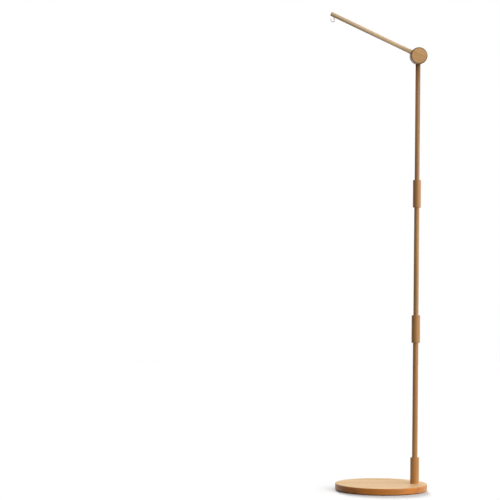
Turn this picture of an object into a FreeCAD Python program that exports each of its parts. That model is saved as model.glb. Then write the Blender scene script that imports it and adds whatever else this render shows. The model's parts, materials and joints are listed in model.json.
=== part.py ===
import FreeCAD, Part
import math
import os
import re
import Sketcher

# Floor-standing crib mobile holder: a round weighted base, a three-section plug-together
# pole with turned sleeves, and a tilting arm with a screw hook for the hanging mobile.
# Frame: origin under the centre of the base, on the floor. +Z is up, the pole stands on
# the +X side and the arm reaches back over the base towards -X. -Y is the front.

SIZES = {
    # base disc and what is let into its underside
    "base_diameter": 300.0,
    "base_thickness": 20.0,
    "base_top_round": 2.5,
    "base_foot_round": 1.5,
    "pad_diameter": 288.0,
    "pad_thickness": 2.0,
    "pad_hole_diameter": 26.0,
    "ballast_diameter": 160.0,
    "ballast_thickness": 6.0,
    "ballast_clearance": 0.3,
    "screw_count": 4,
    "screw_circle_diameter": 120.0,
    "screw_diameter": 4.0,
    "screw_length": 14.0,
    "screw_head_diameter": 8.0,
    # turned socket that carries the pole, and its bolt from below
    "pole_inset": 40.0,
    "socket_diameter": 29.0,
    "socket_length": 85.0,
    "socket_bore_depth": 55.0,
    "socket_tenon_diameter": 20.0,
    "socket_tenon_length": 6.0,
    "socket_insert_diameter": 12.0,
    "socket_insert_length": 16.0,
    "socket_pilot_depth": 31.0,
    "bolt_diameter": 8.0,
    "bolt_length": 34.0,
    "bolt_head_diameter": 13.0,
    "bolt_head_height": 5.0,
    "bolt_key_width": 5.0,
    "bolt_key_depth": 2.6,
    "bolt_recess": 0.6,
    "bolt_head_round": 0.6,
    "bolt_thread_pitch": 1.25,
    "bolt_thread_rings": 17,
    "bolt_washer_diameter": 18.0,
    "bolt_washer_thickness": 1.6,
    "counterbore_diameter": 20.0,
    # the three dowels and the two sleeves that join them
    "lower_pole_diameter": 18.0,
    "middle_pole_diameter": 17.0,
    "upper_pole_diameter": 16.0,
    "lower_run": 375.0,
    "middle_run": 352.0,
    "pole_end_round": 1.0,
    "sleeve_length": 90.0,
    "plug_depth": 42.0,
    "lower_sleeve_diameter": 28.0,
    "upper_sleeve_diameter": 26.5,
    "sleeve_round": 1.0,
    "mouth_round": 0.5,
    # tilting head: two discs face to face, clamped by a knob with a stud
    "pivot_height": 1418.5,
    "disc_diameter": 55.0,
    "disc_thickness": 18.0,
    "disc_face_round": 3.0,
    "disc_joint_round": 1.0,
    "pole_tenon_diameter": 10.0,
    "pole_tenon_length": 18.0,
    "arm_tenon_diameter": 8.0,
    "arm_tenon_length": 14.0,
    "friction_diameter": 48.0,
    "friction_thickness": 1.0,
    "disc_insert_diameter": 9.5,
    "disc_insert_length": 11.0,
    "disc_insert_recess": 0.3,
    "disc_hole_depth": 13.0,
    "stud_diameter": 6.0,
    "stud_length": 40.0,
    "stud_clearance": 0.2,
    "stud_head_width": 10.0,
    "stud_head_height": 4.0,
    "stud_thread_pitch": 1.0,
    "stud_thread_rings": 20,
    "knob_washer_diameter": 18.0,
    "knob_washer_thickness": 1.2,
    "knob_diameter": 40.0,
    "knob_thickness": 16.0,
    "knob_round": 2.0,
    "knob_flutes": 10,
    "flute_diameter": 12.0,
    "flute_depth": 1.6,
    "cap_diameter": 18.0,
    "cap_thickness": 3.5,
    "cap_round": 0.8,
    # arm and hook
    "arm_diameter": 14.0,
    "arm_length": 318.0,
    "arm_rise": 24.7,
    "arm_tip_round": 2.5,
    "hook_setback": 15.0,
    "hook_wire": 2.4,
    "hook_radius": 5.1,
    "hook_neck_radius": 2.5,
    "hook_drop": 9.8,
    "hook_sweep": 220.0,
    "hook_lip": 8.0,
    "hook_collar_diameter": 6.0,
    "hook_collar_thickness": 0.9,
    "hook_screw_length": 9.0,
    # radial clearance of every plug-in fit, and the seat gap at a coped shoulder
    "fit_clearance": 0.1,
    "cope_clearance": 0.05,
}

doc = FreeCAD.newDocument("crib_mobile_holder")
sheet = doc.addObject("Spreadsheet::Sheet", "Sizes")
for row, (alias, value) in enumerate(SIZES.items(), start=1):
    sheet.set(f"A{row}", alias)
    sheet.set(f"B{row}", str(value))
    sheet.setAlias(f"B{row}", alias)
doc.recompute()

# Places and lengths that follow from the driving sizes.
POLE_X = "(base_diameter / 2 - pole_inset)"
BASE_TOP = "(pad_thickness + base_thickness)"
BALLAST_POCKET = "(ballast_thickness + ballast_clearance)"
COUNTERBORE = "(bolt_recess + bolt_head_height + bolt_washer_thickness)"
SOCKET_TOP = f"({BASE_TOP} + socket_length)"
LOWER_SLEEVE = f"({SOCKET_TOP} + lower_run)"
UPPER_SLEEVE = f"({LOWER_SLEEVE} + sleeve_length + middle_run)"
UPPER_PLUG = f"({UPPER_SLEEVE} + sleeve_length - plug_depth)"
STACK = "(disc_thickness + friction_thickness)"
DISC_RIM = "(disc_diameter / 2)"
KNOB_SEAT = "(disc_thickness / 2 + knob_washer_thickness)"
HEAD_SEAT = "(knob_thickness - cap_thickness - stud_head_height)"


# How near an edge's size and level must be to the ones asked for, to be that edge.
MATCH = 1e-4


def bound(text):
    """Points every alias in an expression at the Sizes sheet."""
    return re.sub(r"[a-z]+(?:_[a-z]+)+", lambda m: "Sizes." + m.group(0), str(text))


def number(text):
    """The value that an expression has now."""
    return float(sheet.evalExpression(bound(text)))


def new_body(label, x="0", y="0", z="0", turn=None):
    """An empty body standing at x, y, z, turned about Y by the angle in turn."""
    body = doc.addObject("PartDesign::Body", label)
    body.Label = label
    if turn is not None:
        body.Placement = FreeCAD.Placement(
            FreeCAD.Vector(), FreeCAD.Rotation(FreeCAD.Vector(0, 1, 0), number(turn))
        )
        body.setExpression("Placement.Rotation.Angle", bound(turn))
    for axis, where in (("x", x), ("y", y), ("z", z)):
        body.setExpression(f"Placement.Base.{axis}", bound(where))
    return body


def origin_of(body, role):
    return next(f for f in body.Origin.OriginFeatures if f.Role == role)


def new_sketch(body, plane, offset=None):
    """A sketch on one of the body's own origin planes, moved along its normal by offset."""
    sketch = body.newObject("Sketcher::SketchObject", body.Label + "_sketch")
    sketch.AttachmentSupport = [(origin_of(body, plane), "")]
    sketch.MapMode = "FlatFace"
    if offset is not None:
        sketch.AttachmentOffset = FreeCAD.Placement(
            FreeCAD.Vector(0, 0, number(offset)), FreeCAD.Rotation()
        )
        sketch.setExpression("AttachmentOffset.Base.z", bound(offset))
    return sketch


def pin_point(sketch, geometry, point, x, y):
    """Holds a sketch point at expressions x and y, measured from the sketch's origin."""
    for kind, text, other_axis in (("DistanceX", x, -2), ("DistanceY", y, -1)):
        if text == "0":
            sketch.addConstraint(
                Sketcher.Constraint("PointOnObject", geometry, point, other_axis)
            )
        else:
            index = sketch.addConstraint(
                Sketcher.Constraint(kind, -1, 1, geometry, point, number(text))
            )
            sketch.setExpression(f"Constraints[{index}]", bound(text))


def draw_outline(sketch, corners):
    """A closed polygon whose corners are (x, y) expressions."""
    points = [FreeCAD.Vector(number(x), number(y), 0) for x, y in corners]
    count = len(points)
    for i in range(count):
        sketch.addGeometry(Part.LineSegment(points[i], points[(i + 1) % count]))
    for i in range(count):
        sketch.addConstraint(Sketcher.Constraint("Coincident", i, 2, (i + 1) % count, 1))
    for i, (x, y) in enumerate(corners):
        pin_point(sketch, i, 1, x, y)


def draw_circle(sketch, x, y, diameter):
    centre = FreeCAD.Vector(number(x), number(y), 0)
    circle = sketch.addGeometry(
        Part.Circle(centre, FreeCAD.Vector(0, 0, 1), number(diameter) / 2)
    )
    pin_point(sketch, circle, 3, x, y)
    index = sketch.addConstraint(
        Sketcher.Constraint("Diameter", circle, number(diameter))
    )
    sketch.setExpression(f"Constraints[{index}]", bound(diameter))


def draw_hexagon(sketch, flats):
    """A regular hexagon about the sketch's origin, flats wide, with a corner on the H axis."""
    across = f"({flats}) / cos(30)"
    radius = number(across) / 2
    corners = [
        FreeCAD.Vector(radius * math.cos(i * math.pi / 3), radius * math.sin(i * math.pi / 3), 0)
        for i in range(6)
    ]
    for i in range(6):
        sketch.addGeometry(Part.LineSegment(corners[i], corners[(i + 1) % 6]))
    guide = sketch.addGeometry(
        Part.Circle(FreeCAD.Vector(), FreeCAD.Vector(0, 0, 1), radius), True
    )
    sketch.addConstraint(Sketcher.Constraint("Coincident", guide, 3, -1, 1))
    for i in range(6):
        sketch.addConstraint(Sketcher.Constraint("Coincident", i, 2, (i + 1) % 6, 1))
        sketch.addConstraint(Sketcher.Constraint("PointOnObject", i, 1, guide))
    for i in range(1, 6):
        sketch.addConstraint(Sketcher.Constraint("Equal", 0, i))
    sketch.addConstraint(Sketcher.Constraint("PointOnObject", 0, 1, -1))
    index = sketch.addConstraint(Sketcher.Constraint("Diameter", guide, 2 * radius))
    sketch.setExpression(f"Constraints[{index}]", bound(across))


def turned(body, corners, plane="XZ_Plane", cut=False, offset=None, centre=None):
    """Revolves a half outline about the sketch's vertical axis, or about x = centre."""
    sketch = new_sketch(body, plane, offset)
    draw_outline(sketch, corners)
    axis = "V_Axis"
    if centre is not None:
        reach = (f"-({centre})", "0")
        line = sketch.addGeometry(
            Part.LineSegment(*(FreeCAD.Vector(number(centre), number(y), 0) for y in reach)),
            True,
        )
        for point, y in enumerate(reach, start=1):
            pin_point(sketch, line, point, centre, y)
        axis = "Axis0"
    kind = "PartDesign::Groove" if cut else "PartDesign::Revolution"
    feature = body.newObject(kind, body.Label + ("_groove" if cut else "_turning"))
    feature.Profile = sketch
    feature.ReferenceAxis = (sketch, [axis])
    feature.Angle = 360
    doc.recompute()
    return feature


def pocket(body, sketch, depth, back=False, both=False):
    """Cuts a sketch away; back cuts along its normal, both cuts to each side of it."""
    feature = body.newObject("PartDesign::Pocket", body.Label + "_pocket")
    feature.Profile = sketch
    feature.Reversed = back
    if both:
        feature.SideType = "Symmetric"
    feature.setExpression("Length", bound(depth))
    doc.recompute()
    return feature


def rounded(body, size, *rings):
    """Rounds the circular edges listed as (diameter, level, axis letter)."""
    base = body.Tip
    names = []
    for i, edge in enumerate(base.Shape.Edges, start=1):
        if not isinstance(edge.Curve, Part.Circle):
            continue
        for diameter, level, axis in rings:
            same_size = abs(edge.Curve.Radius * 2 - number(diameter)) < MATCH
            if same_size and abs(getattr(edge.Curve.Center, axis) - number(level)) < MATCH:
                names.append(f"Edge{i}")
    feature = body.newObject("PartDesign::Fillet", body.Label + "_rounding")
    feature.Base = (base, names)
    feature.setExpression("Radius", bound(size))
    doc.recompute()
    return feature


def polar(body, feature, role, count):
    """Repeats a feature evenly about one of the body's own axes."""
    pattern = body.newObject("PartDesign::PolarPattern", body.Label + "_pattern")
    pattern.Originals = [feature]
    pattern.Axis = (origin_of(body, role), [""])
    pattern.Angle = 360
    pattern.setExpression("Occurrences", bound(count))
    body.Tip = pattern
    doc.recompute()
    return pattern


def thread_rings(body, plane, role, diameter, start, pitch, count):
    """Cuts a row of V grooves, which stand for the thread, from the level start upwards."""
    crest = f"{diameter} / 2 + 0.1 * {pitch}"
    root = f"{diameter} / 2 - 0.5 * {pitch}"
    groove = turned(
        body,
        [
            (crest, start),
            (root, f"{start} + 0.5 * {pitch}"),
            (crest, f"{start} + {pitch} * 0.96"),
        ],
        plane,
        cut=True,
    )
    pattern = body.newObject("PartDesign::LinearPattern", body.Label + "_thread")
    pattern.Originals = [groove]
    pattern.Direction = (origin_of(body, role), [""])
    pattern.setExpression("Length", bound(f"{pitch} * ({count} - 1)"))
    pattern.setExpression("Occurrences", bound(count))
    body.Tip = pattern
    doc.recompute()


def ring_outline(inner, outer, height):
    return [(inner, "0"), (outer, "0"), (outer, height), (inner, height)]


# ---- base ----


def make_base_plate():
    body = new_body("base_plate", z="pad_thickness")
    turned(
        body,
        [
            ("0", BALLAST_POCKET),
            ("ballast_diameter / 2 + ballast_clearance", BALLAST_POCKET),
            ("ballast_diameter / 2 + ballast_clearance", "0"),
            ("base_diameter / 2", "0"),
            ("base_diameter / 2", "base_thickness"),
            ("0", "base_thickness"),
        ],
    )
    rounded(body, "base_top_round", ("base_diameter", "base_thickness", "z"))
    rounded(body, "base_foot_round", ("base_diameter", "0", "z"))
    tenon_seat = new_sketch(body, "XY_Plane", "base_thickness")
    draw_circle(tenon_seat, POLE_X, "0", "socket_tenon_diameter + 2 * fit_clearance")
    pocket(body, tenon_seat, "socket_tenon_length + fit_clearance")
    bolt_hole = new_sketch(body, "XY_Plane")
    draw_circle(bolt_hole, POLE_X, "0", "bolt_diameter + 4 * fit_clearance")
    pocket(body, bolt_hole, "base_thickness", back=True)
    counterbore = new_sketch(body, "XY_Plane")
    draw_circle(counterbore, POLE_X, "0", "counterbore_diameter")
    pocket(body, counterbore, COUNTERBORE, back=True)
    edge = "(screw_circle_diameter / 2 + screw_diameter / 2 + fit_clearance)"
    middle = "screw_circle_diameter / 2"
    deep = f"{BALLAST_POCKET} - ballast_thickness + screw_length + fit_clearance"
    pilot = turned(
        body,
        [(middle, BALLAST_POCKET), (edge, BALLAST_POCKET), (edge, deep), (middle, deep)],
        cut=True,
        centre=middle,
    )
    polar(body, pilot, "Z_Axis", "screw_count")


def make_floor_pad():
    body = new_body("floor_pad")
    turned(body, [("0", "0"), ("pad_diameter / 2", "0"), ("pad_diameter / 2", "pad_thickness"),
                  ("0", "pad_thickness")])
    hole = new_sketch(body, "XY_Plane")
    draw_circle(hole, POLE_X, "0", "pad_hole_diameter")
    pocket(body, hole, "pad_thickness", back=True)


def make_ballast():
    plate = new_body("ballast_plate", z="pad_thickness + ballast_clearance")
    turned(
        plate,
        [("0", "0"), ("ballast_diameter / 2", "0"),
         ("ballast_diameter / 2", "ballast_thickness"), ("0", "ballast_thickness")],
    )
    middle = "screw_circle_diameter / 2"
    shank = f"{middle} + screw_diameter / 2 + fit_clearance"
    head = f"{middle} + screw_head_diameter / 2 + fit_clearance"
    sink = "(screw_head_diameter - screw_diameter) / 2"
    hole = turned(
        plate,
        [(middle, "0"), (head, "0"), (shank, sink), (shank, "ballast_thickness"),
         (middle, "ballast_thickness")],
        cut=True,
        centre=middle,
    )
    polar(plate, hole, "Z_Axis", "screw_count")

    screws = new_body("ballast_screws", z="pad_thickness + ballast_clearance")
    screws.AllowCompound = True
    rim = f"{middle} + screw_head_diameter / 2"
    side = f"{middle} + screw_diameter / 2"
    screw = turned(
        screws,
        [(middle, "0"), (rim, "0"), (side, sink), (side, "screw_length - screw_diameter / 2"),
         (middle, "screw_length")],
        centre=middle,
    )
    polar(screws, screw, "Z_Axis", "screw_count")


def make_pole_socket():
    body = new_body("pole_socket", x=POLE_X, z=f"{BASE_TOP} - socket_tenon_length")
    insert = "socket_insert_diameter / 2 + fit_clearance"
    insert_top = "socket_insert_length + 2 * fit_clearance"
    pilot = "bolt_diameter / 2 + 2 * fit_clearance"
    top = "socket_tenon_length + socket_length"
    bore = "lower_pole_diameter / 2 + fit_clearance"
    turned(
        body,
        [
            (insert, "0"),
            ("socket_tenon_diameter / 2", "0"),
            ("socket_tenon_diameter / 2", "socket_tenon_length"),
            ("socket_diameter / 2", "socket_tenon_length"),
            ("socket_diameter / 2", top),
            (bore, top),
            (bore, f"{top} - socket_bore_depth"),
            ("0", f"{top} - socket_bore_depth"),
            ("0", "socket_pilot_depth"),
            (pilot, "socket_pilot_depth"),
            (pilot, insert_top),
            (insert, insert_top),
        ],
    )
    rounded(body, "sleeve_round", ("socket_diameter", top, "z"))
    rounded(body, "mouth_round", (f"2 * ({bore})", top, "z"))


def make_socket_hardware():
    insert = new_body(
        "socket_insert", x=POLE_X, z=f"{BASE_TOP} - socket_tenon_length + fit_clearance"
    )
    turned(insert, ring_outline("bolt_diameter / 2 + fit_clearance",
                                "socket_insert_diameter / 2", "socket_insert_length"))

    washer_level = f"pad_thickness + {COUNTERBORE} - bolt_washer_thickness"
    washer = new_body("socket_washer", x=POLE_X, z=washer_level)
    turned(washer, ring_outline("bolt_diameter / 2 + 2 * fit_clearance",
                                "bolt_washer_diameter / 2", "bolt_washer_thickness"))

    bolt = new_body("socket_bolt", x=POLE_X, z="pad_thickness + bolt_recess")
    tip = "bolt_head_height + bolt_length"
    turned(
        bolt,
        [
            ("0", "0"),
            ("bolt_head_diameter / 2", "0"),
            ("bolt_head_diameter / 2", "bolt_head_height"),
            ("bolt_diameter / 2", "bolt_head_height"),
            ("bolt_diameter / 2", f"{tip} - 0.8 * bolt_thread_pitch"),
            ("bolt_diameter / 2 - 0.8 * bolt_thread_pitch", tip),
            ("0", tip),
        ],
    )
    rounded(bolt, "bolt_head_round", ("bolt_head_diameter", "0", "z"))
    key = new_sketch(bolt, "XY_Plane")
    draw_hexagon(key, "bolt_key_width")
    pocket(bolt, key, "bolt_key_depth", back=True)
    first = f"({tip} - bolt_thread_pitch * (bolt_thread_rings + 1))"
    thread_rings(bolt, "XZ_Plane", "Z_Axis", "bolt_diameter", first,
                 "bolt_thread_pitch", "bolt_thread_rings")


# ---- pole ----


def make_plain_pole(label, diameter, length, z):
    body = new_body(label, x=POLE_X, z=z)
    turned(body, [("0", "0"), (f"{diameter} / 2", "0"), (f"{diameter} / 2", length),
                  ("0", length)])
    rounded(body, "pole_end_round", (diameter, "0", "z"), (diameter, length, "z"))


def make_sleeve(label, diameter, bore_below, bore_above, z):
    """A turned sleeve bored from both ends, with a web left in the middle."""
    body = new_body(label, x=POLE_X, z=z)
    below = f"{bore_below} / 2 + fit_clearance"
    above = f"{bore_above} / 2 + fit_clearance"
    turned(
        body,
        [
            (below, "0"),
            (f"{diameter} / 2", "0"),
            (f"{diameter} / 2", "sleeve_length"),
            (above, "sleeve_length"),
            (above, "sleeve_length - plug_depth"),
            ("0", "sleeve_length - plug_depth"),
            ("0", "plug_depth"),
            (below, "plug_depth"),
        ],
    )
    rounded(body, "sleeve_round", (diameter, "0", "z"), (diameter, "sleeve_length", "z"))
    rounded(body, "mouth_round", (f"2 * ({below})", "0", "z"),
            (f"2 * ({above})", "sleeve_length", "z"))


def make_coped_rod(label, diameter, reach, end_round, tenon_diameter, tenon_length, **place):
    """A dowel from level 0 towards a disc centred at level reach: its end is coped to
    the disc's rim and carries a tenon that enters the disc."""
    body = new_body(label, **place)
    side = f"{diameter} / 2"
    shoulder = f"{reach} - sqrt({DISC_RIM} ^ 2 - ({side}) ^ 2)"
    turned(body, [("0", "0"), (side, "0"), (side, shoulder), ("0", shoulder)])
    rounded(body, end_round, (diameter, "0", "z"))
    cope = new_sketch(body, "XZ_Plane")
    draw_circle(cope, "0", reach, "disc_diameter + 2 * cope_clearance")
    pocket(body, cope, f"2 * {diameter}", both=True)
    start = f"{reach} - {DISC_RIM} - {tenon_diameter}"
    end = f"{reach} - {DISC_RIM} + {tenon_length}"
    turned(body, [("0", start), (f"{tenon_diameter} / 2", start),
                  (f"{tenon_diameter} / 2", end), ("0", end)])
    return body


# ---- tilting head ----


def make_joint_disc(label, bore, tenon_diameter, tenon_length, y, turn, outer, inner):
    """A disc from y to y + disc_thickness, with a radial tenon hole towards its local +Z.
    bore lists the outline corners of its centre hole, from the front to the back; outer
    and inner are the levels of its outside face and of the face that meets the joint."""
    body = new_body(label, x=POLE_X, y=y, z="pivot_height", turn=turn)
    turned(
        body,
        [(DISC_RIM, "0"), (DISC_RIM, "disc_thickness"), *reversed(bore)],
        "XY_Plane",
    )
    rounded(body, "disc_face_round", ("disc_diameter", outer, "y"))
    rounded(body, "disc_joint_round", ("disc_diameter", inner, "y"))
    side = f"{tenon_diameter} / 2 + fit_clearance"
    floor = f"{DISC_RIM} - {tenon_length} - fit_clearance"
    past = f"{DISC_RIM} + fit_clearance"
    turned(
        body,
        [("0", floor), (side, floor), (side, past), ("0", past)],
        cut=True,
        offset="-disc_thickness / 2",
    )


def make_head():
    through = "stud_diameter / 2 + stud_clearance"
    blind = "disc_insert_diameter / 2 + fit_clearance"
    blind_end = "disc_thickness - disc_hole_depth"
    make_joint_disc(
        "pole_disc",
        [(through, "0"), (through, "disc_thickness")],
        "pole_tenon_diameter", "pole_tenon_length",
        y="-disc_thickness / 2", turn="180", outer="disc_thickness", inner="0",
    )
    make_joint_disc(
        "arm_disc",
        [("0", "0"), ("0", blind_end), (blind, blind_end), (blind, "disc_thickness")],
        "arm_tenon_diameter", "arm_tenon_length",
        y=f"-disc_thickness / 2 - {STACK}", turn="arm_rise - 90",
        outer="0", inner="disc_thickness",
    )

    ring = new_body("friction_ring", x=POLE_X,
                    y="-disc_thickness / 2 - friction_thickness", z="pivot_height")
    turned(ring, ring_outline(through, "friction_diameter / 2", "friction_thickness"),
           "XY_Plane")

    insert_back = "-disc_thickness / 2 - friction_thickness - disc_insert_recess"
    insert = new_body("disc_insert", x=POLE_X,
                      y=f"{insert_back} - disc_insert_length", z="pivot_height")
    turned(insert, ring_outline("stud_diameter / 2 + fit_clearance",
                                "disc_insert_diameter / 2", "disc_insert_length"), "XY_Plane")


def make_knob():
    washer = new_body("knob_washer", x=POLE_X, y="disc_thickness / 2", z="pivot_height")
    turned(washer, ring_outline("stud_diameter / 2 + stud_clearance",
                                "knob_washer_diameter / 2", "knob_washer_thickness"), "XY_Plane")

    knob = new_body("clamp_knob", x=POLE_X, y=KNOB_SEAT, z="pivot_height")
    shank = "stud_diameter / 2 + fit_clearance"
    cap = "cap_diameter / 2 + fit_clearance"
    cap_seat = "knob_thickness - cap_thickness"
    turned(
        knob,
        [
            (shank, "0"),
            ("knob_diameter / 2", "0"),
            ("knob_diameter / 2", "knob_thickness"),
            (cap, "knob_thickness"),
            (cap, cap_seat),
            (shank, cap_seat),
        ],
        "XY_Plane",
    )
    rounded(knob, "knob_round", ("knob_diameter", "0", "y"),
            ("knob_diameter", "knob_thickness", "y"))
    head_seat = new_sketch(knob, "XZ_Plane", f"-{HEAD_SEAT}")
    draw_hexagon(head_seat, "stud_head_width + 2 * fit_clearance")
    pocket(knob, head_seat, "stud_head_height")
    flute = new_sketch(knob, "XZ_Plane")
    draw_circle(flute, "knob_diameter / 2 + flute_diameter / 2 - flute_depth", "0",
                "flute_diameter")
    polar(knob, pocket(knob, flute, "knob_thickness"), "Y_Axis", "knob_flutes")

    lid = new_body("knob_cap", x=POLE_X, y=f"{KNOB_SEAT} + {cap_seat}", z="pivot_height")
    turned(lid, [("0", "0"), ("cap_diameter / 2", "0"), ("cap_diameter / 2", "cap_thickness"),
                 ("0", "cap_thickness")], "XY_Plane")
    rounded(lid, "cap_round", ("cap_diameter", "cap_thickness", "y"))

    stud = new_body("knob_stud", x=POLE_X,
                    y=f"{KNOB_SEAT} + {HEAD_SEAT} - stud_length", z="pivot_height")
    point = "stud_diameter / 2 - 0.8 * stud_thread_pitch"
    turned(
        stud,
        [
            ("0", "0"),
            (point, "0"),
            ("stud_diameter / 2", "0.8 * stud_thread_pitch"),
            ("stud_diameter / 2", "stud_length"),
            ("0", "stud_length"),
        ],
        "XY_Plane",
    )
    head = new_sketch(stud, "XZ_Plane", "-stud_length")
    draw_hexagon(head, "stud_head_width")
    pad = stud.newObject("PartDesign::Pad", "knob_stud_head")
    pad.Profile = head
    pad.Reversed = True
    pad.setExpression("Length", bound("stud_head_height"))
    doc.recompute()
    thread_rings(stud, "XY_Plane", "Y_Axis", "stud_diameter", "stud_thread_pitch",
                 "stud_thread_pitch", "stud_thread_rings")


# ---- arm ----

ARM_TIP_X = f"{POLE_X} - arm_length * cos(arm_rise)"
ARM_TIP_Z = "pivot_height + arm_length * sin(arm_rise)"
# where the hook's bowl runs out into its lip and where the lip ends, in the hook's frame
BOWL_END_X = "(-hook_radius * sin(hook_sweep))"
BOWL_END_Z = "(hook_drop - hook_radius * cos(hook_sweep))"
LIP_END_X = f"({BOWL_END_X} - hook_lip * cos(hook_sweep))"
LIP_END_Z = f"({BOWL_END_Z} + hook_lip * sin(hook_sweep))"


def make_arm():
    """The arm's local frame starts at its tip: +Z runs down the arm to the pivot and +X
    points out of its underside, where the hook's pilot hole enters."""
    body = make_coped_rod("arm_rod", "arm_diameter", "arm_length", "arm_tip_round",
                          "arm_tenon_diameter", "arm_tenon_length",
                          x=ARM_TIP_X, y=f"-{STACK}", z=ARM_TIP_Z, turn="90 + arm_rise")
    pilot = new_sketch(body, "YZ_Plane")
    draw_circle(pilot, "0", "hook_setback", "hook_wire + 2 * fit_clearance")
    hole = body.newObject("PartDesign::Pocket", "arm_rod_pilot")
    hole.Profile = pilot
    hole.Reversed = True
    hole.SideType = "Two sides"
    hole.setExpression("Length", bound("arm_diameter"))
    hole.setExpression("Length2", bound("hook_screw_length - arm_diameter / 2 + fit_clearance"))
    doc.recompute()


def make_hook():
    """A screw hook of round wire: its screw runs up into the arm, a collar meets the arm's
    underside, and below it a neck bend leads into the round bowl, whose straight lip flares
    out. Local +Z points out of the arm's underside and +X towards the arm's tip."""
    body = new_body(
        "screw_hook",
        x=f"{ARM_TIP_X} + hook_setback * cos(arm_rise) - arm_diameter / 2 * sin(arm_rise)",
        y=f"-{STACK}",
        z=f"{ARM_TIP_Z} - hook_setback * sin(arm_rise) - arm_diameter / 2 * cos(arm_rise)",
        turn="180 + arm_rise",
    )
    radius = number("hook_radius")
    neck = number("hook_neck_radius")
    drop = number("hook_drop")
    lean = math.asin(neck / (radius + neck))
    end = math.radians(number("hook_sweep"))
    shank_end = drop - math.sqrt(radius ** 2 + 2 * radius * neck)
    up = FreeCAD.Vector(0, 0, 1)
    start = math.pi * 3 / 2

    path = new_sketch(body, "XZ_Plane")
    path.addGeometry(Part.LineSegment(
        FreeCAD.Vector(0, -number("hook_screw_length"), 0), FreeCAD.Vector(0, shank_end, 0)
    ))
    neck_circle = Part.Circle(FreeCAD.Vector(-neck, shank_end, 0), up, neck)
    path.addGeometry(Part.ArcOfCircle(neck_circle, 0, math.pi / 2 - lean))
    bowl_circle = Part.Circle(FreeCAD.Vector(0, drop, 0), up, radius)
    path.addGeometry(Part.ArcOfCircle(bowl_circle, start - end, start - lean))
    lip = ((BOWL_END_X, BOWL_END_Z), (LIP_END_X, LIP_END_Z))
    path.addGeometry(Part.LineSegment(
        *(FreeCAD.Vector(number(x), number(z), 0) for x, z in lip)
    ))
    path.addConstraint(Sketcher.Constraint("Tangent", 0, 2, 1, 1))
    path.addConstraint(Sketcher.Constraint("Tangent", 1, 2, 2, 2))
    path.addConstraint(Sketcher.Constraint("Tangent", 2, 1, 3, 1))
    path.addConstraint(Sketcher.Constraint("Vertical", 0))
    path.addConstraint(Sketcher.Constraint("PointOnObject", 0, 1, -2))
    path.addConstraint(Sketcher.Constraint("PointOnObject", 2, 3, -2))
    for kind, where, text in (
        ("DistanceY", (0, 1, -1, 1), "hook_screw_length"),
        ("DistanceY", (-1, 1, 2, 3), "hook_drop"),
        ("DistanceY", (-1, 1, 2, 1), BOWL_END_Z),
        ("Distance", (3,), "hook_lip"),
        ("Radius", (1,), "hook_neck_radius"),
        ("Radius", (2,), "hook_radius"),
    ):
        index = path.addConstraint(Sketcher.Constraint(kind, *where, number(text)))
        path.setExpression(f"Constraints[{index}]", bound(text))

    section = new_sketch(body, "XY_Plane", "-hook_screw_length")
    draw_circle(section, "0", "0", "hook_wire")
    wire = body.newObject("PartDesign::AdditivePipe", "screw_hook_wire")
    wire.Profile = section
    wire.Spine = (path, ["Edge1", "Edge2", "Edge3", "Edge4"])
    doc.recompute()
    rounded(body, "hook_wire * 0.45", ("hook_wire", LIP_END_X, "x"))
    turned(body, [("0", "0"), ("hook_collar_diameter / 2", "0"),
                  ("hook_collar_diameter / 2", "hook_collar_thickness"),
                  ("0", "hook_collar_thickness")])
    rounded(body, "hook_collar_thickness / 3",
            ("hook_collar_diameter", "hook_collar_thickness", "z"))


def check_and_export():
    """Stops on any failed object, then writes one STEP file for each sub-part."""
    doc.recompute()
    failed = [o.Label for o in doc.Objects if {"Invalid", "Error"} & set(o.State)]
    if failed:
        raise RuntimeError(f"these objects failed: {failed}")
    os.makedirs("parts", exist_ok=True)
    for piece in doc.Objects:
        if piece.TypeId != "PartDesign::Body":
            continue
        shape = piece.Shape
        if shape.isNull() or not shape.isValid() or not shape.Solids:
            raise RuntimeError(f"{piece.Label} has no valid solid")
        shape.exportStep(f"parts/{piece.Label}.step")
        box = shape.BoundBox
        print(f"{piece.Label:16s} solids {len(shape.Solids)}  volume {shape.Volume:10.1f}  "
              f"z {box.ZMin:8.2f} to {box.ZMax:8.2f}")


make_base_plate()
make_floor_pad()
make_ballast()
make_pole_socket()
make_socket_hardware()
make_plain_pole("lower_pole", "lower_pole_diameter",
                "(socket_bore_depth + lower_run + plug_depth)",
                f"{SOCKET_TOP} - socket_bore_depth")
make_sleeve("lower_sleeve", "lower_sleeve_diameter", "lower_pole_diameter",
            "middle_pole_diameter", LOWER_SLEEVE)
make_plain_pole("middle_pole", "middle_pole_diameter",
                "(plug_depth + middle_run + plug_depth)",
                f"{LOWER_SLEEVE} + sleeve_length - plug_depth")
make_sleeve("upper_sleeve", "upper_sleeve_diameter", "middle_pole_diameter",
            "upper_pole_diameter", UPPER_SLEEVE)
make_coped_rod("upper_pole", "upper_pole_diameter", f"(pivot_height - {UPPER_PLUG})",
               "pole_end_round", "pole_tenon_diameter", "pole_tenon_length",
               x=POLE_X, z=UPPER_PLUG)
make_head()
make_knob()
make_arm()
make_hook()
check_and_export()
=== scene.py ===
import json
import math

import bmesh
import bpy
from mathutils import Euler, Matrix, Vector


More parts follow.
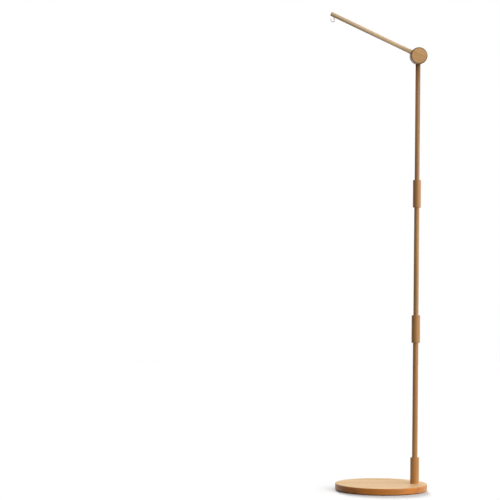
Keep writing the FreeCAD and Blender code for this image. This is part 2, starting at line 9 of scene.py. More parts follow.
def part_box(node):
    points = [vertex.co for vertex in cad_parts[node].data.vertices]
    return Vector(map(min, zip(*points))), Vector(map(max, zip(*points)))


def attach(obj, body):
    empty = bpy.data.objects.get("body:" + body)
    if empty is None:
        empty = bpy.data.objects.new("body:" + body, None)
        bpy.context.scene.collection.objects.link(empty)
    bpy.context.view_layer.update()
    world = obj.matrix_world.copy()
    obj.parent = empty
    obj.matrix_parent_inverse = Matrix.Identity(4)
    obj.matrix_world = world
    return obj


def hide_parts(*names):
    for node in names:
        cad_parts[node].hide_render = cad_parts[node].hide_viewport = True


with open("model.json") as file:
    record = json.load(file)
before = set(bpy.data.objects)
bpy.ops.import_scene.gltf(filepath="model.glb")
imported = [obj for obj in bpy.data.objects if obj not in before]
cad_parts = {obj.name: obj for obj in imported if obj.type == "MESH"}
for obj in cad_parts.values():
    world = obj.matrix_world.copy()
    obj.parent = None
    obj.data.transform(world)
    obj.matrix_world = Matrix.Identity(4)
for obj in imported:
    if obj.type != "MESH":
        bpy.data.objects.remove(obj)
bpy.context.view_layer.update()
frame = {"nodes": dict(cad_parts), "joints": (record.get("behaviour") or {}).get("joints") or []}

mm = 0.001
scene = bpy.context.scene
scene.view_settings.view_transform = "Standard"
box = {name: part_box(name) for name in frame["nodes"]}
pivot = Vector(next(j["pos_m"] for j in frame["joints"] if j["name"] == "arm_tilt"))
poleX = pivot.x


def linear(hexColour):
    channels = [int(hexColour[i:i + 2], 16) / 255 for i in (0, 2, 4)]
    return tuple(
        c / 12.92 if c <= 0.04045 else ((c + 0.055) / 1.055) ** 2.4 for c in channels
    ) + (1.0,)


# adds a node, applies its settings, then fills its inputs with values or links
def addNode(tree, kind, inputs=None, **settings):
    node = tree.nodes.new(kind)
    for key, value in settings.items():
        setattr(node, key, value)
    for key, value in (inputs or {}).items():
        if isinstance(value, bpy.types.NodeSocket):
            tree.links.new(value, node.inputs[key])
        else:
            node.inputs[key].default_value = value
    return node


def newMaterial(name):
    material = bpy.data.materials.new(name)
    material.use_nodes = True
    material.node_tree.nodes.clear()
    return material, material.node_tree


def closeMaterial(tree, shader):
    addNode(tree, "ShaderNodeOutputMaterial", {"Surface": shader.outputs[0]})


beechLook = {
    "pale": "C09868",
    "deep": "A07748",
    "fleck": "7C5430",
    # edge: darker tone painted as shade on sides and roundings; rim: dark ring painted as shade
    # at a head disc's rim
    "edge": "8A683F",
    "edgeAxis": None,
    "rim": "7C6038",
    "rimRadius": None,
    "rimWidth": 5 * mm,
    "grainTurn": (0.0, 0.0, 0.0),  # turns a piece's own direction of grain to Z
    "pithAway": (38 * mm, 9 * mm, 0.0),  # how far off in the log the piece was cut
    "ringSpacing": 4.5 * mm,
    "ringDrift": 26 * mm,
    "driftWidth": 45 * mm,
    "fibreWidth": 0.9 * mm,
    "fleckWidth": 0.55 * mm,
    "fleckShare": 0.45,
    "toneWidth": 26 * mm,
    "ringShare": 0.4,  # shares: how much of the way from pale to deep a pattern moves
    "fibreShare": 0.5,
    "toneShare": 1.1,
    "staveShare": 0.5,
    "roughness": 0.34,
    "edgeRoughness": 0.34,
    "specular": 0.32,
    "endShare": 0.75,
    "poreDepth": 0.05 * mm,
}


# Beech, turned and oiled: close straight grain, soft growth rings and short dark ray
# flecks. The pattern is solid, so ends show rings and sides show lines along the grain.
# Rings and fibres are drawn about twice as wide as real ones, or they would not show.
def beech(name, **changes):
    look = {**beechLook, **changes}
    material, tree = newMaterial(name)
    place = addNode(tree, "ShaderNodeTexCoord")
    grain = addNode(tree, "ShaderNodeMapping", {
        "Vector": place.outputs["Object"],
        "Location": look["pithAway"],
        "Rotation": look["grainTurn"],
    }).outputs[0]
    staveTone = None
    if "staveWidth" in look:
        grain, staveTone = glueStaves(tree, grain, look)
    longGrain = addNode(tree, "ShaderNodeVectorMath", {0: grain, 1: (1, 1, 0.08)},
                        operation="MULTIPLY").outputs[0]
    tone = addNode(tree, "ShaderNodeTexNoise",
                   {"Vector": longGrain, "Scale": 1 / look["toneWidth"], "Detail": 1.0})
    ring = growthRings(tree, grain, longGrain, look)
    fibre = woodFibre(tree, grain, look)
    flecks = rayFlecks(tree, grain, look)

    # each part of the pattern darkens or lightens the wood about its mean
    dark = 0.5
    for pattern, share, mean in (
        (ring, look["ringShare"], 0.38),
        (fibre, look["fibreShare"], 0.5),
        (tone.outputs[0], look["toneShare"], 0.5),
        (staveTone, look["staveShare"], 0.5),
    ):
        if pattern is None:
            continue
        centred = addNode(tree, "ShaderNodeMath", {0: pattern, 1: share, 2: -share * mean},
                          operation="MULTIPLY_ADD")
        dark = addNode(tree, "ShaderNodeMath", {0: centred.outputs[0], 1: dark},
                       operation="ADD").outputs[0]
    wood = addNode(tree, "ShaderNodeMix", {
        0: dark, 6: linear(look["pale"]), 7: linear(look["deep"]),
    }, data_type="RGBA").outputs[2]
    speckled = addNode(tree, "ShaderNodeMath", {0: flecks, 1: look["fleckShare"]},
                       operation="MULTIPLY")
    wood = addNode(tree, "ShaderNodeMix", {
        0: speckled.outputs[0], 6: wood, 7: linear(look["fleck"]),
    }, data_type="RGBA").outputs[2]
    wood = darkEnds(tree, place, wood, look)

    rough = addNode(tree, "ShaderNodeMapRange", {
        "Value": fibre, "From Min": 0.25, "From Max": 0.75,
        "To Min": look["roughness"] - 0.06, "To Max": look["roughness"] + 0.08,
    }).outputs[0]
    # painted shade on the sides and roundings, and a painted dark ring at the head discs' rims
    if look["edgeAxis"] is not None:
        wood, rough = paintEdgeShade(tree, place, dark, wood, rough, look)
    height = addNode(tree, "ShaderNodeMath", {0: flecks, 1: -0.5, 2: fibre},
                     operation="MULTIPLY_ADD")
    bump = addNode(tree, "ShaderNodeBump", {
        "Height": height.outputs[0], "Strength": 0.5, "Distance": look["poreDepth"],
    })
    shader = addNode(tree, "ShaderNodeBsdfPrincipled", {
        "Base Color": wood, "Roughness": rough, "Normal": bump.outputs[0],
        "IOR": 1.5, "Specular IOR Level": look["specular"],
    })
    closeMaterial(tree, shader)
    return material


# rings about the pith: pale early wood that ends in a narrow dark line, a little wavy
def growthRings(tree, grain, longGrain, look):
    flat = addNode(tree, "ShaderNodeVectorMath", {0: grain, 1: (1, 1, 0)}, operation="MULTIPLY")
    fromPith = addNode(tree, "ShaderNodeVectorMath", {0: flat.outputs[0]}, operation="LENGTH")
    drift = addNode(tree, "ShaderNodeTexNoise", {
        "Vector": longGrain, "Scale": 1 / look["driftWidth"], "Detail": 2.0,
    })
    wander = addNode(tree, "ShaderNodeMath", {
        0: drift.outputs[0], 1: look["ringDrift"], 2: fromPith.outputs["Value"],
    }, operation="MULTIPLY_ADD")
    year = addNode(tree, "ShaderNodeMath", {0: wander.outputs[0], 1: look["ringSpacing"]},
                   operation="DIVIDE")
    season = addNode(tree, "ShaderNodeMath", {0: year.outputs[0]}, operation="FRACT")
    ring = addNode(tree, "ShaderNodeValToRGB", {"Fac": season.outputs[0]})
    stops = ring.color_ramp.elements
    for stop in stops:
        stop.color = (0.5, 0.5, 0.5, 1)
    for position, value in ((0.12, 0.12), (0.6, 0.2), (0.92, 1.0)):
        stops.new(position).color = (value, value, value, 1)
    return ring.outputs[0]


def woodFibre(tree, grain, look):
    fineGrain = addNode(tree, "ShaderNodeVectorMath", {0: grain, 1: (1, 1, 0.035)},
                        operation="MULTIPLY")
    return addNode(tree, "ShaderNodeTexNoise", {
        "Vector": fineGrain.outputs[0], "Scale": 1 / look["fibreWidth"], "Detail": 3.0,
        "Roughness": 0.6,
    }).outputs[0]


def rayFlecks(tree, grain, look):
    shortGrain = addNode(tree, "ShaderNodeVectorMath", {0: grain, 1: (1, 1, 0.2)},
                         operation="MULTIPLY")
    rays = addNode(tree, "ShaderNodeTexNoise", {
        "Vector": shortGrain.outputs[0], "Scale": 1 / look["fleckWidth"], "Detail": 0.0,
    })
    return addNode(tree, "ShaderNodeMapRange", {
        "Value": rays.outputs[0], "From Min": 0.62, "From Max": 0.74,
    }).outputs[0]


# cut fibres drink more oil, so faces across the grain are darker
def darkEnds(tree, place, wood, look):
    grainAxis = Euler(look["grainTurn"]).to_matrix()[2]
    endShare = addNode(tree, "ShaderNodeMath", {
        0: facing(tree, place, grainAxis, 0.55, 1.0), 1: look["endShare"],
    }, operation="MULTIPLY")
    return addNode(tree, "ShaderNodeMix", {
        0: endShare.outputs[0], 6: wood, 7: linear(look["deep"]),
    }, data_type="RGBA").outputs[2]


# the sides and roundings of a turned piece get a darker tone than its faces, and a head disc
# gets a dark ring at the rim of its faces: both are painted shade; the sides also get a
# roughness of their own
def paintEdgeShade(tree, place, dark, wood, rough, look):
    onFace = facing(tree, place, look["edgeAxis"], 0.7, 0.97)
    wood = addNode(tree, "ShaderNodeMix", {
        0: onFace, 6: paintedShadeTone(tree, dark, look["edge"]), 7: wood,
    }, data_type="RGBA").outputs[2]
    # a dark ring of painted shade at the rim of a head disc's faces
    if look["rimRadius"] is not None:
        wood = addNode(tree, "ShaderNodeMix", {
            0: paintedRimShade(tree, place, look), 6: wood, 7: paintedShadeTone(tree, dark, look["rim"]),
        }, data_type="RGBA").outputs[2]
    rough = addNode(tree, "ShaderNodeMix", {0: onFace, 2: look["edgeRoughness"], 3: rough})
    return wood, rough.outputs[0]


# 1 where the surface faces along an axis of the piece, 0 where it turns away
def facing(tree, place, axis, low, high):
    along = addNode(tree, "ShaderNodeVectorMath",
                    {0: place.outputs["Normal"], 1: axis}, operation="DOT_PRODUCT")
    size = addNode(tree, "ShaderNodeMath", {0: along.outputs["Value"]}, operation="ABSOLUTE")
    return addNode(tree, "ShaderNodeMapRange", {
        "Value": size.outputs[0], "From Min": low, "From Max": high,
    }, interpolation_type="SMOOTHSTEP").outputs[0]


# 1 on the outermost band of a head disc's faces and on its rounding, 0 on its side: where the
# dark ring of painted shade goes
def paintedRimShade(tree, place, look):
    fromPivot = addNode(tree, "ShaderNodeVectorMath",
                        {0: place.outputs["Object"], 1: pivot}, operation="SUBTRACT")
    flat = addNode(tree, "ShaderNodeVectorMath", {0: fromPivot.outputs[0], 1: (1, 0, 1)},
                   operation="MULTIPLY")
    reach = addNode(tree, "ShaderNodeVectorMath", {0: flat.outputs[0]}, operation="LENGTH")
    outside = addNode(tree, "ShaderNodeMapRange", {
        "Value": reach.outputs["Value"],
        "From Min": look["rimRadius"] - look["rimWidth"],
        "From Max": look["rimRadius"] - 0.4 * look["rimWidth"],
    }, interpolation_type="SMOOTHSTEP")
    onFace = facing(tree, place, look["edgeAxis"], 0.2, 0.6)
    return addNode(tree, "ShaderNodeMath", {0: onFace, 1: outside.outputs[0]},
                   operation="MULTIPLY").outputs[0]


# the painted shade's own tone, with as much grain in it as the rest
def paintedShadeTone(tree, dark, colour):
    edge = linear(colour)
    return addNode(tree, "ShaderNodeMix", {
        0: dark,
        6: (*[c * 1.4 for c in edge[:3]], 1),
        7: (*[c * 0.6 for c in edge[:3]], 1),
    }, data_type="RGBA").outputs[2]


# the panel is glued up from staves: each has its own tone and its own piece of the log
def glueStaves(tree, grain, look):
    axes = addNode(tree, "ShaderNodeSeparateXYZ", {0: grain})
    strip = addNode(tree, "ShaderNodeMath", {0: axes.outputs["Y"], 1: look["staveWidth"]},
                    operation="DIVIDE")
    index = addNode(tree, "ShaderNodeMath", {0: strip.outputs[0]}, operation="FLOOR")
    chance = addNode(tree, "ShaderNodeTexWhiteNoise", {"W": index.outputs[0]},
                     noise_dimensions="1D")
    start = addNode(tree, "ShaderNodeMath", {0: index.outputs[0], 1: look["staveWidth"]},
                    operation="MULTIPLY")
    back = addNode(tree, "ShaderNodeCombineXYZ", {"Y": start.outputs[0]})
    own = addNode(tree, "ShaderNodeVectorMath", {0: grain, 1: back.outputs[0]},
                  operation="SUBTRACT")
    moved = addNode(tree, "ShaderNodeVectorMath", {
        0: chance.outputs["Color"], 1: look["staveShift"], 2: own.outputs[0],
    }, operation="MULTIPLY_ADD")
    return moved.outputs[0], chance.outputs["Value"]


# Zinc plate, bright drawn wire and turned brass: a hard mirror skin with faint waviness.
def brightMetal(name, colour, roughness, wave):
    material, tree = newMaterial(name)
    place = addNode(tree, "ShaderNodeTexCoord")
    cloud = addNode(tree, "ShaderNodeTexNoise", {
        "Vector": place.outputs["Object"], "Scale": 1 / wave, "Detail": 3.0,
    })
    rough = addNode(tree, "ShaderNodeMapRange", {
        "Value": cloud.outputs[0], "From Min": 0.3, "From Max": 0.7,
        "To Min": roughness * 0.8, "To Max": roughness * 1.3,
    })
    bump = addNode(tree, "ShaderNodeBump", {
        "Height": cloud.outputs[0], "Strength": 0.3, "Distance": 0.02 * mm,
    })
    shader = addNode(tree, "ShaderNodeBsdfPrincipled", {
        "Base Color": linear(colour), "Metallic": 1.0, "Roughness": rough.outputs[0],
        "Normal": bump.outputs[0],
    })
    closeMaterial(tree, shader)
    return material


# Cellular rubber sheet: matt, with closed cells that show as fine pits and paler specks.
def cellRubber(name, colour, speck, cell):
    material, tree = newMaterial(name)
    place = addNode(tree, "ShaderNodeTexCoord")
    cells = addNode(tree, "ShaderNodeTexVoronoi", {
        "Vector": place.outputs["Object"], "Scale": 1 / cell, "Randomness": 1.0,
    })
    pit = addNode(tree, "ShaderNodeMapRange", {
        "Value": cells.outputs["Distance"], "From Min": 0.15, "From Max": 0.6,
    })
    tint = addNode(tree, "ShaderNodeMix", {
        0: pit.outputs[0], 6: linear(speck), 7: linear(colour),
    }, data_type="RGBA")
    bump = addNode(tree, "ShaderNodeBump", {
        "Height": pit.outputs[0], "Strength": 0.6, "Distance": 0.15 * mm,
    })
    shader = addNode(tree, "ShaderNodeBsdfPrincipled", {
        "Base Color": tint.outputs[2], "Roughness": 0.85, "Normal": bump.outputs[0],
    })
    closeMaterial(tree, shader)
    return material


# Black powder coat on steel plate: low gloss, with the fine orange peel of baked powder.
def powderCoat(name, colour, grit):
    material, tree = newMaterial(name)
    place = addNode(tree, "ShaderNodeTexCoord")
    peel = addNode(tree, "ShaderNodeTexNoise", {
        "Vector": place.outputs["Object"], "Scale": 1 / grit, "Detail": 1.0,
    })
    rough = addNode(tree, "ShaderNodeMapRange", {
        "Value": peel.outputs[0], "From Min": 0.3, "From Max": 0.7,
        "To Min": 0.5, "To Max": 0.65,
    })
    bump = addNode(tree, "ShaderNodeBump", {
        "Height": peel.outputs[0], "Strength": 0.5, "Distance": 0.05 * mm,
    })
    shader = addNode(tree, "ShaderNodeBsdfPrincipled", {
        "Base Color": linear(colour), "Roughness": rough.outputs[0],
        "Normal": bump.outputs[0], "IOR": 1.5,
    })
    closeMaterial(tree, shader)
    return material


quarter = math.pi / 2
armRise = math.radians(24.7)
alongArm = (0, -quarter - armRise, 0)
discRadius = (box["pole_disc"][1].x - box["pole_disc"][0].x) / 2
# the discs' and the knob's sides get a darker tone, which is painted shade
discWood = {
    "pale": "E0B37E", "deep": "B98A55", "edge": "A37C4C", "edgeAxis": (0, 1, 0),
    "toneWidth": 15 * mm, "toneShare": 1.7, "ringShare": 0.6,
}
# pale lacquer on the panel's top, with a darker, more orange side that is painted shade; the
# oiled dowels and sleeves are darker the lower they stand
finish = {
    "base": beech("beechLacqueredPanel", pale="EFC994", deep="E2B06E", edge="BC732C",
                  roughness=0.48, edgeRoughness=0.36, specular=0.3, grainTurn=(0, -quarter, 0),
                  edgeAxis=(0, 0, 1), staveWidth=50 * mm,
                  staveShift=(25 * mm, 20 * mm, 0.7), pithAway=(60 * mm, 7 * mm, 0)),
    "socket": beech("beechTurnedSocket", pale="CC9455", deep="AD763A"),
    "lowerPole": beech("beechDowelLower", pithAway=(30 * mm, -12 * mm, 0.3),
                       pale="C08C50", deep="9F6831"),
    "lowerSleeve": beech("beechTurnedSleeveLower", pithAway=(22 * mm, 20 * mm, 0.1),
                         pale="C59258", deep="A6733B"),
    "middlePole": beech("beechDowelMiddle", pithAway=(-34 * mm, 8 * mm, 0.7),
                        pale="BE8F58", deep="9C6C39"),
    "upperSleeve": beech("beechTurnedSleeveUpper", pithAway=(-20 * mm, -18 * mm, 0.2),
                         pale="C59258", deep="A6733B"),
    "upperPole": beech("beechDowelUpper", pithAway=(26 * mm, 24 * mm, 1.1),
                       pale="B2875A", deep="92663A"),
    "poleDisc": beech("beechTurnedDiscRear", pithAway=(-60 * mm, 30 * mm, 0),
                      **discWood, rimRadius=discRadius),
    "armDisc": beech("beechTurnedDiscFront", pithAway=(52 * mm, 44 * mm, 0),
                     **discWood, rimRadius=discRadius, grainTurn=alongArm),
    "arm": beech("beechDowelArm", pale="D2B691", deep="AE926B", grainTurn=alongArm,
                 pithAway=(30 * mm, -14 * mm, 0)),
    "knob": beech("beechFlutedKnob", pithAway=(-44 * mm, 12 * mm, 0.5), **discWood),
    "hook": brightMetal("brightSteelWire", "918A84", 0.25, 1.5 * mm),
    "zinc": brightMetal("zincPlatedSteel", "BFC1C4", 0.28, 2.5 * mm),
    "brass": brightMetal("turnedBrass", "C9A45C", 0.3, 2 * mm),
    "powder": powderCoat("blackPowderCoat", "232324", 0.5 * mm),
    "pad": cellRubber("cellularRubberPad", "2B2A29", "3A3938", 0.9 * mm),
    "ring": cellRubber("corkRubberRing", "4A3B2C", "7A6248", 0.7 * mm),
}
print("materials made")


# where each point goes once a ring of round cutters has hollowed the rim
def pastFlutes(tree, given):
    place = addNode(tree, "GeometryNodeInputPosition")
    axes = addNode(tree, "ShaderNodeSeparateXYZ", {0: place.outputs[0]})
    angle = addNode(tree, "ShaderNodeMath", {0: axes.outputs["Y"], 1: axes.outputs["X"]},
                    operation="ARCTAN2")
    turns = addNode(tree, "ShaderNodeMath", {0: angle.outputs[0], 1: 2 * math.pi},
                    operation="DIVIDE")
    count = addNode(tree, "ShaderNodeMath", {0: turns.outputs[0], 1: given["Flutes"]},
                    operation="MULTIPLY")
    nearest = addNode(tree, "ShaderNodeMath", {0: count.outputs[0]}, operation="ROUND")
    offset = addNode(tree, "ShaderNodeMath", {0: count.outputs[0], 1: nearest.outputs[0]},
                     operation="SUBTRACT")
    whole = addNode(tree, "ShaderNodeMath", {0: 2 * math.pi, 1: given["Flutes"]},
                    operation="DIVIDE")
    away = addNode(tree, "ShaderNodeMath", {0: offset.outputs[0], 1: whole.outputs[0]},
                   operation="MULTIPLY")
    sine = addNode(tree, "ShaderNodeMath", {0: away.outputs[0]}, operation="SINE")
    cosine = addNode(tree, "ShaderNodeMath", {0: away.outputs[0]}, operation="COSINE")
    beside = addNode(tree, "ShaderNodeMath", {0: sine.outputs[0], 1: given["Flute Centre"]},
                     operation="MULTIPLY")
    ahead = addNode(tree, "ShaderNodeMath", {0: cosine.outputs[0], 1: given["Flute Centre"]},
                    operation="MULTIPLY")
    besideSquared = addNode(tree, "ShaderNodeMath", {0: beside.outputs[0], 1: beside.outputs[0]},
                            operation="MULTIPLY")
    cutterSquared = addNode(tree, "ShaderNodeMath",
                            {0: given["Flute Radius"], 1: given["Flute Radius"]},
                            operation="MULTIPLY")
    left = addNode(tree, "ShaderNodeMath",
                   {0: cutterSquared.outputs[0], 1: besideSquared.outputs[0]},
                   operation="SUBTRACT")
    inside = addNode(tree, "ShaderNodeMath", {0: left.outputs[0], 1: 0.0}, operation="MAXIMUM")
    depth = addNode(tree, "ShaderNodeMath", {0: inside.outputs[0]}, operation="SQRT")
    limit = addNode(tree, "ShaderNodeMath", {0: ahead.outputs[0], 1: depth.outputs[0]},
                    operation="SUBTRACT")
    share = addNode(tree, "ShaderNodeMath", {0: limit.outputs[0], 1: given["Rim"]},
                    operation="DIVIDE")
    # a flute's edge is a little rounded, and the hollow fades out towards the axis
    capped = addNode(tree, "ShaderNodeMath", {0: share.outputs[0], 1: 1.0, 2: 0.02},
                     operation="SMOOTH_MIN")
    reached = addNode(tree, "ShaderNodeVectorMath", {0: place.outputs[0], 1: (1, 1, 0)},
                      operation="MULTIPLY")
    radius = addNode(tree, "ShaderNodeVectorMath", {0: reached.outputs[0]}, operation="LENGTH")
    fromAxis = addNode(tree, "ShaderNodeMath", {0: radius.outputs["Value"], 1: given["Rim"]},
                       operation="DIVIDE")
    nearRim = addNode(tree, "ShaderNodeMapRange",
                      {"Value": fromAxis.outputs[0], "From Min": 0.6, "From Max": 0.88},
                      interpolation_type="SMOOTHSTEP")
    scale = addNode(tree, "ShaderNodeMix", {0: nearRim.outputs[0], 2: 1.0, 3: capped.outputs[0]})
    cut = addNode(tree, "ShaderNodeCombineXYZ",
                  {"X": scale.outputs[0], "Y": scale.outputs[0], "Z": 1.0})
    return addNode(tree, "ShaderNodeVectorMath", {0: place.outputs[0], 1: cut.outputs[0]},
                   operation="MULTIPLY").outputs[0]


# Turns a half section about Z. The section is a curve with x as radius and y as height,
# and each point's own radius is how far that corner is rounded.
def turningTree():
    tree = bpy.data.node_groups.new("turnedPiece", "GeometryNodeTree")
    for name, kind, value in (
        ("Section", "NodeSocketObject", None),
        ("Segments", "NodeSocketInt", 96),
        ("Corner Steps", "NodeSocketInt", 6),
        ("Flutes", "NodeSocketInt", 0),
        ("Flute Centre", "NodeSocketFloat", 1.0),
        ("Flute Radius", "NodeSocketFloat", 0.1),
        ("Rim", "NodeSocketFloat", 1.0),
        ("Finish", "NodeSocketMaterial", None),
    ):
        socket = tree.interface.new_socket(name=name, in_out="INPUT", socket_type=kind)
        if value is not None:
            socket.default_value = value
    tree.interface.new_socket(name="Piece", in_out="OUTPUT", socket_type="NodeSocketGeometry")
    given = addNode(tree, "NodeGroupInput").outputs
    section = addNode(tree, "GeometryNodeObjectInfo", {"Object": given["Section"]})
    rounding = addNode(tree, "GeometryNodeInputRadius")
    rounded = addNode(tree, "GeometryNodeFilletCurve", {
        "Curve": section.outputs["Geometry"], "Radius": rounding.outputs[0],
        "Count": given["Corner Steps"], "Limit Radius": True,
    }, mode="POLY")
    # the section itself holds the radii, so the circle that it follows is next to nothing
    circle = addNode(tree, "GeometryNodeCurvePrimitiveCircle",
                     {"Resolution": given["Segments"], "Radius": 1e-6})
    upright = addNode(tree, "GeometryNodeSetCurveNormal", {"Curve": circle.outputs[0]},
                      mode="Z_UP")
    swept = addNode(tree, "GeometryNodeCurveToMesh", {
        "Curve": upright.outputs[0], "Profile Curve": rounded.outputs[0],
    })
    closed = addNode(tree, "GeometryNodeMergeByDistance",
                     {"Geometry": swept.outputs[0], "Distance": 5e-6})

    hasFlutes = addNode(tree, "FunctionNodeCompare", {2: given["Flutes"], 3: 0},
                        data_type="INT", operation="GREATER_THAN")
    fluted = addNode(tree, "GeometryNodeSetPosition", {
        "Geometry": closed.outputs[0], "Selection": hasFlutes.outputs[0],
        "Position": pastFlutes(tree, given),
    })
    edge = addNode(tree, "GeometryNodeInputMeshEdgeAngle")
    soft = addNode(tree, "FunctionNodeCompare", {0: edge.outputs[0], 1: math.radians(32)},
                   data_type="FLOAT", operation="LESS_THAN")
    smooth = addNode(tree, "GeometryNodeSetShadeSmooth", {"Geometry": fluted.outputs[0]},
                     domain="FACE")
    creased = addNode(tree, "GeometryNodeSetShadeSmooth", {
        "Geometry": smooth.outputs[0], "Shade Smooth": soft.outputs[0],
    }, domain="EDGE")
    real = addNode(tree, "GeometryNodeRealizeInstances", {"Geometry": creased.outputs[0]})
    done = addNode(tree, "GeometryNodeSetMaterial",
                   {"Geometry": real.outputs[0], "Material": given["Finish"]})
    addNode(tree, "NodeGroupOutput", {"Piece": done.outputs[0]})
    return tree


# runs a tree on an empty mesh and keeps the result as a plain mesh, facing outwards
def makeFromTree(name, tree, values, place=Matrix()):
    piece = bpy.data.objects.new(name, bpy.data.meshes.new(name))
    scene.collection.objects.link(piece)
    modifier = piece.modifiers.new("shape", "NODES")
    modifier.node_group = tree
    for item in tree.interface.items_tree:
        if item.in_out == "INPUT" and item.name in values:
            modifier[item.identifier] = values[item.name]
    graph = bpy.context.evaluated_depsgraph_get()
    mesh = bpy.data.meshes.new_from_object(piece.evaluated_get(graph), depsgraph=graph,
                                           preserve_all_data_layers=True)
    piece.modifiers.remove(modifier)
    mesh.transform(place)
    faceOutwards(mesh)
    piece.data = mesh
    return piece


def faceOutwards(mesh):
    shape = bmesh.new()
    shape.from_mesh(mesh)
    if shape.calc_volume(signed=True) < 0:
        bmesh.ops.reverse_faces(shape, faces=shape.faces)
    shape.to_mesh(mesh)
    shape.free()


# a half section; a plain point each side of a rounded corner keeps the faces beside it flat
def drawSection(corners, closed=False):
    points = []
    for i, corner in enumerate(corners):
        here = Vector((corner[0], corner[1], 0))
        rounding = corner[2] if len(corner) > 2 else 0
        if rounding:
            for step in (-1, 1):
                other = corners[(i + step) % len(corners)]
                leg = Vector((other[0], other[1], 0)) - here
                rest = here + leg.normalized() * min(rounding * 1.25, leg.length * 0.49)
                if step == -1:
                    points += [(rest, 0), (here, rounding)]
                else:
                    points.append((rest, 0))
        else:
            points.append((here, 0))
    curve = bpy.data.curves.new("section", "CURVE")
    spline = curve.splines.new("POLY")
    spline.points.add(len(points) - 1)
    spline.use_cyclic_u = closed
    for target, (place, rounding) in zip(spline.points, points):
        target.co = (place.x, -place.y, 0, 1)  # the sweep hangs a section upside down
        target.radius = rounding
    section = bpy.data.objects.new("section", curve)
    scene.collection.objects.link(section)
    return section


turning = turningTree()


def turn(name, corners, material, place, closed=False, segments=128, **more):
    section = drawSection(corners, closed)
    piece = makeFromTree(name, turning, {
        "Section": section, "Segments": segments, "Finish": material, **more,
    }, place)
    bpy.data.objects.remove(section)
    return piece


def cutterCylinder(radius, low, high, place, sides=64):
    shape = bmesh.new()
    bmesh.ops.create_cone(shape, cap_ends=True, segments=sides, radius1=radius, radius2=radius,
                          depth=high - low)
    bmesh.ops.translate(shape, verts=shape.verts, vec=(0, 0, (low + high) / 2))
    mesh = bpy.data.meshes.new("cutter")
    shape.to_mesh(mesh)
    shape.free()
    mesh.transform(place)
    cutter = bpy.data.objects.new("cutter", mesh)
    scene.collection.objects.link(cutter)
    return cutter


# cuts or joins other shapes with a piece, and keeps the result as its plain mesh
def combine(piece, *steps):
    for operation, other in steps:
        boolean = piece.modifiers.new("cut", "BOOLEAN")
        boolean.operation = operation
        boolean.solver = "EXACT"
        boolean.object = other
    graph = bpy.context.evaluated_depsgraph_get()
    mesh = bpy.data.meshes.new_from_object(piece.evaluated_get(graph), depsgraph=graph,
                                           preserve_all_data_layers=True)
    piece.modifiers.clear()
    piece.data = mesh
    for _, other in steps:
        bpy.data.objects.remove(other)
    return piece


def standAt(x, z):
    return Matrix.Translation((x, 0, z))


# lays a turned piece along Y, about the line of the head's pivot
def lieAt(y):
    return Matrix.Translation((pivot.x, y, pivot.z)) @ Matrix.Rotation(-quarter, 4, "X")


def finishPiece(piece, body, node):
    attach(piece, body)
    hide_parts(node)


baseSize = {
    "topRound": 2.5 * mm,
    "footRound": 1.5 * mm,
    "ballastRadius": 80.3 * mm,  # the recess for the steel plate, underneath
    "ballastDepth": 6.3 * mm,
    "seatRadius": 10.1 * mm,  # the seat of the socket's tenon, on top
    "seatDepth": 6.1 * mm,
    "boltHoleRadius": 4.2 * mm,
    "counterboreRadius": 10 * mm,  # for the bolt's head and washer
    "counterboreDepth": 7.2 * mm,
}
padSize = {
    "edgeRound": 0.3 * mm,
    "boltHoleRadius": 13 * mm,
}


def makeBase():
    low, high = box["base_plate"]
    thick = high.z - low.z
    rim = high.x
    piece = turn("basePlate", [
        (0, baseSize["ballastDepth"]),
        (baseSize["ballastRadius"], baseSize["ballastDepth"]),
        (baseSize["ballastRadius"], 0),
        (rim, 0, baseSize["footRound"]),
        (rim, thick, baseSize["topRound"]),
        (0, thick),
    ], finish["base"], standAt(0, low.z), segments=320)
    at = standAt(poleX, low.z)
    combine(
        piece,
        ("DIFFERENCE", cutterCylinder(baseSize["seatRadius"], thick - baseSize["seatDepth"],
                                      thick + mm, at)),
        ("DIFFERENCE", cutterCylinder(baseSize["boltHoleRadius"], -mm, thick, at)),
        ("DIFFERENCE", cutterCylinder(baseSize["counterboreRadius"], -mm,
                                      baseSize["counterboreDepth"], at)),
    )
    finishPiece(piece, "base", "base_plate")


def makePad():
    low, high = box["floor_pad"]
    thick = high.z - low.z
    piece = turn("floorPad", [
        (0, 0), (high.x, 0, padSize["edgeRound"]),
        (high.x, thick, padSize["edgeRound"]), (0, thick),
    ], finish["pad"], standAt(0, low.z), segments=256)
    combine(piece, ("DIFFERENCE", cutterCylinder(padSize["boltHoleRadius"], -mm, thick + mm,
                                                 standAt(poleX, low.z))))
    finishPiece(piece, "base", "floor_pad")


makeBase()
makePad()
print("base made")


poleSize = {
    "endRound": 1 * mm,
    "sleeveRound": 1 * mm,
    "mouthRound": 0.5 * mm,
    "fit": 0.1 * mm,
    "endGap": 0.05 * mm,  # keeps faces that turn on each other apart
    "plug": 42 * mm,
}
socketSize = {
    "boreDepth": 55 * mm,
    "boltRadius": 4.2 * mm,
    "boltReach": 31 * mm,
    "insertRadius": 6.1 * mm,
    "insertReach": 16.2 * mm,
    "tenonRadius": 10 * mm,
    "tenonLength": 6 * mm,
}


def radiusOf(node):
    low, high = box[node]
    return (high.y - low.y) / 2


